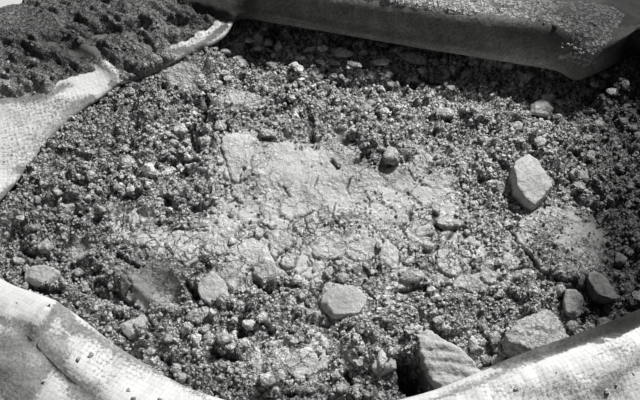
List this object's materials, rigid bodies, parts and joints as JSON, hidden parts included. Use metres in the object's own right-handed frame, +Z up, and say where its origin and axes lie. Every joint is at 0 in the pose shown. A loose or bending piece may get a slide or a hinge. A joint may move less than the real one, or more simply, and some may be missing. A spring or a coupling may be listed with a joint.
{
  "type": "cement bag",
  "caption": "Woven plastic sack of cement lying flat, its top slit open and folded back over crumbly, partly hardened cement with loose lumps.",
  "frame": {"origin": "on the floor under the middle of the lying sack", "axes": "+X along the sack's length, +Y across it, +Z up"},
  "size_m": [0.631, 0.427, 0.1675],
  "materials": {
    "woven_plastic": "off-white woven polypropylene tape, dusted with cement",
    "cement_powder": "matt grey powder, crumbled and caked",
    "hard_cement": "matt grey hardened lumps"
  },
  "bodies": {
    "root": {"sack": "woven_plastic", "cement_fill": "cement_powder", "set_spill": "hard_cement", "big_lump": "hard_cement", "leaning_slab": "hard_cement", "rough_lump": "hard_cement", "dark_lump": "hard_cement", "wedge_lump": "hard_cement", "far_lump": "hard_cement", "pale_lump": "hard_cement", "loose_flake": "hard_cement", "smooth_plate": "hard_cement", "left_lump": "hard_cement", "long_flake": "hard_cement", "side_lump": "hard_cement"}
  },
  "joints": []
}
